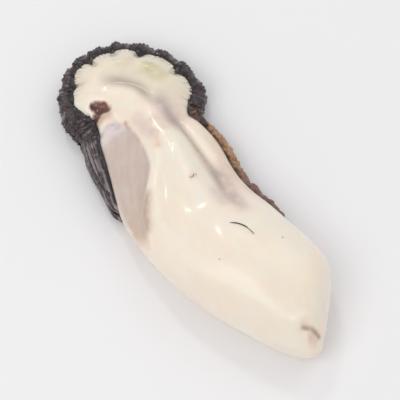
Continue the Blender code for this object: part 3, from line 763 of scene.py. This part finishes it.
# ================================================================ materials
class Shader:
    """A material's node tree, with short ways to add the nodes used here."""

    def __init__(self, name, roughness, coat, scatter):
        self.material = bpy.data.materials.new(name)
        self.material.use_nodes = True
        self.tree = self.material.node_tree
        self.bsdf = self.tree.nodes["Principled BSDF"]
        self.set("Roughness", roughness)
        self.set("IOR", 1.38)
        self.set("Coat Weight", coat[0])
        self.set("Coat Roughness", coat[1])
        self.set("Coat IOR", 1.36)
        self.set("Subsurface Weight", scatter[0])
        self.set("Subsurface Scale", scatter[1] * MILLIMETRE)
        self.set("Subsurface Radius", scatter[2])
        self.place = self.add("ShaderNodeTexCoord").outputs["Object"]

    def add(self, kind, **settings):
        node = self.tree.nodes.new(kind)
        for key, value in settings.items():
            setattr(node, key, value)
        return node

    def set(self, socket, value):
        self.bsdf.inputs[socket].default_value = value

    def link(self, a, b):
        self.tree.links.new(a, b)

    def mask(self, name, low=0.0, high=1.0):
        """The named mask, from 0 to 1, or stretched between two of its values."""
        attribute = self.add("ShaderNodeAttribute", attribute_name=name)
        if (low, high) == (0.0, 1.0):
            return attribute.outputs["Fac"]
        return self.ramp(attribute.outputs["Fac"], low, high)

    def ramp(self, value, low, high, bottom=0.0, top=1.0):
        node = self.add("ShaderNodeMapRange", interpolation_type="SMOOTHSTEP")
        self.link(value, node.inputs["Value"])
        for socket, number in (("From Min", low), ("From Max", high), ("To Min", bottom), ("To Max", top)):
            node.inputs[socket].default_value = number
        return node.outputs["Result"]

    def noise(self, size, detail=2.0, lengths=(1, 1, 1), turned=0.0):
        """Noise with lumps of the given size in millimetres, drawn out along each axis by its length.

        The axes are turned about Z by an angle in degrees."""
        mapping = self.add("ShaderNodeMapping", vector_type="TEXTURE")
        mapping.inputs["Scale"].default_value = lengths
        mapping.inputs["Rotation"].default_value = (0, 0, math.radians(turned))
        self.link(self.place, mapping.inputs["Vector"])
        node = self.add("ShaderNodeTexNoise")
        node.inputs["Scale"].default_value = 1 / (size * MILLIMETRE)
        node.inputs["Detail"].default_value = detail
        self.link(mapping.outputs["Vector"], node.inputs["Vector"])
        return node.outputs["Fac"]

    def noise_round_margin(self, size, detail=1.0):
        """Noise that changes only along the margin, as radial stripes of about the given size."""
        node = self.add("ShaderNodeTexNoise", noise_dimensions="1D")
        node.inputs["Scale"].default_value = margin_frame()[2][-1] / size
        node.inputs["Detail"].default_value = detail
        self.link(self.mask("share"), node.inputs["W"])
        return node.outputs["Fac"]

    def math(self, operation, a, b):
        node = self.add("ShaderNodeMath", operation=operation)
        for k, value in enumerate((a, b)):
            if isinstance(value, (int, float)):
                node.inputs[k].default_value = value
            else:
                self.link(value, node.inputs[k])
        return node.outputs[0]

    def times(self, a, b):
        return self.math("MULTIPLY", a, b)

    def mix(self, factor, a, b):
        """Colour a where the factor is 0, b where it is 1. A colour is a socket or sRGB numbers up to 255."""
        node = self.add("ShaderNodeMix", data_type="RGBA")
        self.link(factor, node.inputs[0])
        for k, colour in ((6, a), (7, b)):
            if isinstance(colour, tuple):
                node.inputs[k].default_value = linear(colour)
            else:
                self.link(colour, node.inputs[k])
        return node.outputs[2]

    def bump(self, height, depth):
        """Relief of the surface and of the wet film on it, in millimetres."""
        node = self.add("ShaderNodeBump")
        node.inputs["Distance"].default_value = depth * MILLIMETRE
        self.link(height, node.inputs["Height"])
        self.link(node.outputs["Normal"], self.bsdf.inputs["Normal"])
        self.link(node.outputs["Normal"], self.bsdf.inputs["Coat Normal"])

    def colour(self, socket):
        self.link(socket, self.bsdf.inputs["Base Color"])

    def roughness(self, socket):
        self.link(socket, self.bsdf.inputs["Roughness"])


def linear(colour):
    """Linear light from sRGB numbers up to 255."""
    return (*(c / 255 / 12.92 if c < 10.3 else ((c / 255 + 0.055) / 1.055) ** 2.4 for c in colour), 1.0)


CREAM = (252, 237, 223)
CREAM_WARM = (251, 233, 217)
CREAM_PALE = (252, 239, 225)
LOBE = (239, 230, 213)
LOBE_GREEN = (214, 206, 174)
PLEAT_SHADE = (190, 176, 150)
# lilac tone of the tissue, also used as painted shade in grooves
LILAC_TINT_AND_SHADE = (199, 181, 177)
# painted shade for the creases
CREASE_SHADE = (166, 158, 142)
# the flank's tan mottling, also used as painted shade
FLANK_TAN_AND_SHADE = (224, 205, 184)
# brown marks, also used as painted shade in folds
TAN_AND_SHADE = (190, 165, 145)
VENT_BROWN = (106, 67, 57)
VENT_PALE = (142, 103, 89)
VENT_DARK = (84, 46, 38)
BLACK = (27, 20, 24)
BROWN_BLACK = (74, 57, 60)
# pale streaks of the left folds, partly painted highlight along their lips
STREAK_GREY_AND_HIGHLIGHT = (142, 130, 132)
FRILL_ROOT = (58, 45, 43)
FRILL_ORANGE = (180, 138, 98)
FRILL_TAN = (156, 112, 80)
FRILL_DARK = (84, 54, 44)
FRILL_RED = (122, 86, 78)
MUSCLE_GREY = (216, 200, 191)
MUSCLE_SHADE = (206, 188, 178)
MUSCLE_PALE = (231, 221, 221)
MUSCLE_TAN = (212, 192, 174)
GILL_SHADE = (150, 132, 116)
GILL_PALE = (212, 194, 174)
GILL_GREY = (188, 176, 168)
GRIT_DARK = (52, 42, 34)
GRIT_BROWN = (96, 78, 60)
FIBRE_TURN = -33           # degrees from +Y, the direction of the muscle's fibres
LEFT_TURN = -17            # and of the folds down the left side


def muscle_colour(s):
    fibres = s.ramp(s.noise(1.0, 3.0, (1, 9, 1), FIBRE_TURN), 0.35, 0.68, 0.0, 0.6)
    colour = s.mix(fibres, MUSCLE_GREY, MUSCLE_SHADE)
    cloud = s.ramp(s.noise(3.2, 2.0), 0.35, 0.65, 0.0, 0.5)
    colour = s.mix(cloud, colour, MUSCLE_SHADE)
    top = s.times(s.mask("muscle_top"), s.ramp(s.noise(2.0, 2.0), 0.3, 0.6, 0.35, 1.0))
    colour = s.mix(top, colour, MUSCLE_PALE)
    tail = s.times(s.mask("muscle_tail"), s.ramp(s.noise(2.4, 2.0), 0.3, 0.6, 0.35, 0.9))
    return s.mix(tail, colour, MUSCLE_TAN)


def flesh_material():
    s = Shader("oyster flesh", 0.34, (0.6, 0.12), (0.75, 1.6, (1.0, 0.62, 0.42)))
    cloud = s.ramp(s.noise(9.0, 3.0, (1, 1.6, 1)), 0.38, 0.64)
    colour = s.mix(cloud, CREAM, CREAM_WARM)
    veins = s.ramp(s.noise(2.6, 3.0, (1, 2.2, 1)), 0.48, 0.68, 0.0, 0.55)
    colour = s.mix(veins, colour, CREAM_PALE)

    way = s.times(s.mask("rim_way"), RIM_SPAN)
    green = s.math("ADD", s.mask("green"), s.ramp(s.noise(4.0, 2.0), 0.45, 0.75, 0.0, 0.4))
    lobe = s.mix(s.times(green, s.ramp(s.noise(2.2, 2.0), 0.3, 0.6, 0.7, 1.0)), LOBE, LOBE_GREEN)
    near_rim = s.times(s.ramp(way, 0.0, RIM_SPAN, 0.8, 0.0), s.mask("fan"))
    lobe = s.mix(s.times(near_rim, s.ramp(s.noise_round_margin(0.55), 0.42, 0.60)), lobe, PLEAT_SHADE)
    colour = s.mix(s.mask("lobe"), colour, lobe)

    # the right flank's tan mottling, with painted shade towards its edge
    flank = s.times(s.mask("flank"), s.ramp(s.noise(3.4, 3.0, (1, 2, 1)), 0.30, 0.65, 0.45, 1.0))
    colour = s.mix(flank, colour, FLANK_TAN_AND_SHADE)
    # lilac tone and painted shade beside the neck's crease
    colour = s.mix(s.times(s.mask("lilac_and_shade"), s.ramp(s.noise(2.2, 2.0), 0.25, 0.6, 0.6, 1.0)), colour, LILAC_TINT_AND_SHADE)
    # painted shade in the creases
    colour = s.mix(s.mask("crease"), colour, CREASE_SHADE)
    # tan marks and painted shade in the folds
    colour = s.mix(s.times(s.mask("tan"), s.ramp(s.noise(1.3, 2.0), 0.3, 0.7, 0.7, 1.0)), colour, TAN_AND_SHADE)
    colour = s.mix(s.mask("muscle"), colour, muscle_colour(s))
    side = s.times(s.mask("side_rim"), s.ramp(s.noise(1.2, 3.0), 0.35, 0.65, 0.3, 0.9))
    colour = s.mix(side, colour, FRILL_ORANGE)

    vent = s.mix(s.ramp(s.noise(0.8, 3.0), 0.42, 0.62), VENT_BROWN, VENT_PALE)
    vent = s.mix(s.mask("vent_dark"), vent, VENT_DARK)
    colour = s.mix(s.mask("vent"), colour, vent)
    tooth = s.ramp(s.noise_round_margin(0.50), 0.42, 0.60, 0.12, 1.15)
    tooth = s.times(tooth, s.ramp(s.noise_round_margin(3.1), 0.35, 0.65, 0.45, 1.0))
    tooth = s.times(tooth, s.ramp(s.mask("share"), 0.64, 0.73, 1.0, 0.3))
    teeth = s.times(s.ramp(s.math("SUBTRACT", way, tooth), -0.20, 0.24, 1.0, 0.0), s.mask("fan"))
    colour = s.mix(teeth, colour, BROWN_BLACK)
    s.colour(colour)
    s.roughness(s.ramp(s.noise(1.6, 3.0), 0.3, 0.7, 0.30, 0.44))
    s.bump(s.noise(0.9, 2.0), 0.015)
    return s.material


def frill_material():
    s = Shader("oyster frill", 0.30, (0.9, 0.06), (0.15, 0.5, (1.0, 0.6, 0.45)))
    outer = s.math("ADD", s.mask("lip", 0.55, 1.0), s.ramp(s.noise(1.2, 3.0), 0.35, 0.65, -0.35, 0.35))
    black = s.mix(s.ramp(outer, 0.1, 0.9), BLACK, BROWN_BLACK)
    root = s.times(s.mask("lip", 0.55, 0.25), s.ramp(s.noise(0.7, 2.0), 0.35, 0.6))
    black = s.mix(root, black, FRILL_ROOT)
    # pale streaks on the left folds' lips, partly painted highlight along them
    lip = s.times(s.mask("lip", 0.62, 0.92), s.mask("left"))
    streaks = s.ramp(s.noise(0.7, 2.0, (1, 14, 1), LEFT_TURN), 0.50, 0.62)
    black = s.mix(s.times(lip, streaks), black, STREAK_GREY_AND_HIGHLIGHT)
    orange = s.mix(s.ramp(s.noise(1.1, 3.0), 0.40, 0.68), FRILL_ORANGE, FRILL_TAN)
    orange = s.mix(s.mask("share", 0.20, 0.12), orange, FRILL_RED)
    inner = s.math("ADD", s.mask("lip"), s.ramp(s.noise(1.4, 3.0), 0.3, 0.7, -0.14, 0.14))
    brown = s.mix(s.ramp(inner, 0.56, 0.80), FRILL_DARK, orange)
    s.colour(s.mix(s.mask("brown"), black, brown))
    s.roughness(s.ramp(s.noise(0.9, 2.0), 0.3, 0.7, 0.30, 0.46))
    s.bump(s.noise(0.5, 2.0), 0.05)
    return s.material


def gill_material():
    s = Shader("gills", 0.36, (0.5, 0.12), (0.5, 0.8, (1.0, 0.7, 0.5)))
    colour = s.mix(s.mask("leaf"), GILL_SHADE, GILL_PALE)
    s.colour(s.mix(s.ramp(s.noise(3.0, 2.0), 0.35, 0.65, 0, 0.5), colour, GILL_GREY))
    s.bump(s.noise(0.3, 2.0), 0.03)
    return s.material


def grit_material():
    s = Shader("dark grit", 0.5, (0.3, 0.2), (0.0, 0.1, (1, 1, 1)))
    s.colour(s.mix(s.ramp(s.noise(0.4, 2.0), 0.35, 0.65), GRIT_DARK, GRIT_BROWN))
    return s.material


def plain_material(name, colour, roughness):
    s = Shader(name, roughness, (0.0, 0.1), (0.0, 0.1, (1, 1, 1)))
    s.set("Base Color", linear(colour))
    return s.material


# ================================================================ camera, light, floor
CAMERA_AZIMUTH = -33       # degrees, the photograph's direction
CAMERA_ELEVATION = 65
CAMERA_DISTANCE = 0.36
VIEW_WIDTH = 0.086
AIM = (0.00028, -0.00095, 0.0055)


def direction(azimuth, elevation):
    a, e = math.radians(azimuth), math.radians(elevation)
    return Vector((math.sin(a) * math.cos(e), -math.cos(a) * math.cos(e), math.sin(e)))


def make_camera():
    data = bpy.data.cameras.new("camera")
    data.lens = data.sensor_width * CAMERA_DISTANCE / VIEW_WIDTH
    camera = bpy.data.objects.new("camera", data)
    back = direction(CAMERA_AZIMUTH, CAMERA_ELEVATION)
    camera.location = Vector(AIM) + back * CAMERA_DISTANCE
    camera.rotation_euler = (-back).to_track_quat("-Z", "Y").to_euler()
    data.clip_start = 0.01
    bpy.context.scene.collection.objects.link(camera)
    bpy.context.scene.camera = camera


def area_light(name, azimuth, elevation, distance, size, power, colour=(1, 1, 1)):
    data = bpy.data.lights.new(name, "AREA")
    data.shape = "DISK"
    data.size = size
    data.energy = power
    data.color = colour
    light = bpy.data.objects.new(name, data)
    towards = direction(azimuth, elevation)
    light.location = towards * distance
    light.rotation_euler = (-towards).to_track_quat("-Z", "Y").to_euler()
    bpy.context.scene.collection.objects.link(light)


def make_studio():
    shape = bmesh.new()
    bmesh.ops.create_grid(shape, x_segments=1, y_segments=1, size=3.0)
    floor = new_object("floor", bmesh_to_mesh(shape, "floor"))
    floor.data.materials.append(plain_material("pale floor", (244, 244, 246), 0.6))
    area_light("key", -80, 55, 0.6, 0.40, 0.95, (1.0, 0.98, 0.95))
    area_light("fill", 100, 50, 0.7, 0.5, 0.55, (1.0, 0.98, 0.96))
    area_light("sparkle", 165, 52, 0.6, 0.07, 0.28)
    world = bpy.data.worlds.new("studio")
    world.use_nodes = True
    background = world.node_tree.nodes["Background"]
    background.inputs["Color"].default_value = (1, 1, 1, 1)
    background.inputs["Strength"].default_value = 0.62
    bpy.context.scene.world = world
    bpy.context.scene.view_settings.view_transform = "Standard"


# ================================================================ the oyster
def main():
    make_camera()
    make_studio()

    flesh = make_flesh()
    height = surface_finder(flesh)
    grit = grit_material()
    thread = make_thread(height, THREAD, THREAD_RADIUS)
    shred = make_thread(height, SHRED, SHRED_RADIUS)
    specks = make_specks(height)
    frill = frill_material()
    rng = np.random.default_rng(7)

    finish_piece(flesh, "flesh", flesh_material())
    for name, profile, shift, thickness, _, _ in UPPER_FOLDS:
        finish_piece(fold_sheet(name, profile, shift, thickness), name, frill)
    lobe = fold_sheet("lower_fold", LOWER_LOBE, LOBE_SHIFT, LOBE_THICKNESS, True, LOBE_START)
    finish_piece(lobe, "lower_fold", frill)
    finish_piece(make_papillae(rng), "papillae", frill)
    finish_piece(make_knot(), "knot", frill)
    finish_piece(make_gills(), "gills", gill_material())
    finish_piece(thread, "thread", grit)
    finish_piece(shred, "shred", grit)
    finish_piece(specks, "specks", grit)
    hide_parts("oyster")


main()
